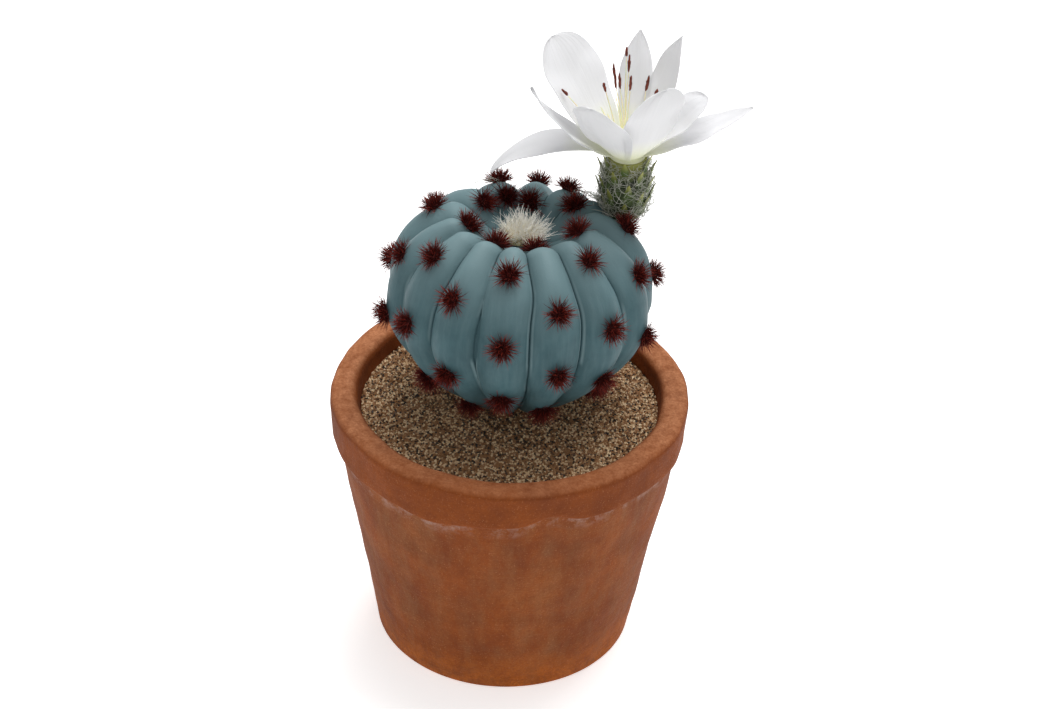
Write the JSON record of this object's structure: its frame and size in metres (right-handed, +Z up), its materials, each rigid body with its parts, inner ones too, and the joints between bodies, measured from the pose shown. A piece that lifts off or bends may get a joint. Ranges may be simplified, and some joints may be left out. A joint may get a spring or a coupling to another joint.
{
  "type": "potted cactus",
  "caption": "Artificial globe cactus with deep ribs, bristle tufts, a woolly crown and one white flower, set in sand in a terracotta pot.",
  "frame": {"origin": "centre of the pot's flat underside", "axes": "+Z up along the pot's axis, -Y towards the front that the picture shows, +X to its right, where the flower stands"},
  "size_m": [0.1358, 0.12, 0.2115],
  "materials": {
    "terracotta": "unglazed, matt, with pale bloom",
    "sand": "loose grains, matt",
    "cactus_skin": "moulded, satin",
    "crown_wool": "loose wool",
    "flower_tube": "moulded, matted with pale hairs",
    "petal_fabric": "thin, stiffened, slightly translucent",
    "stamen": "satin"
  },
  "bodies": {
    "root": {"pot": "terracotta", "sand": "sand", "cactus_body": "cactus_skin", "crown_wool": "crown_wool", "flower_tube": "flower_tube", "flower_petals": "petal_fabric", "flower_stamens": "stamen"}
  },
  "joints": []
}
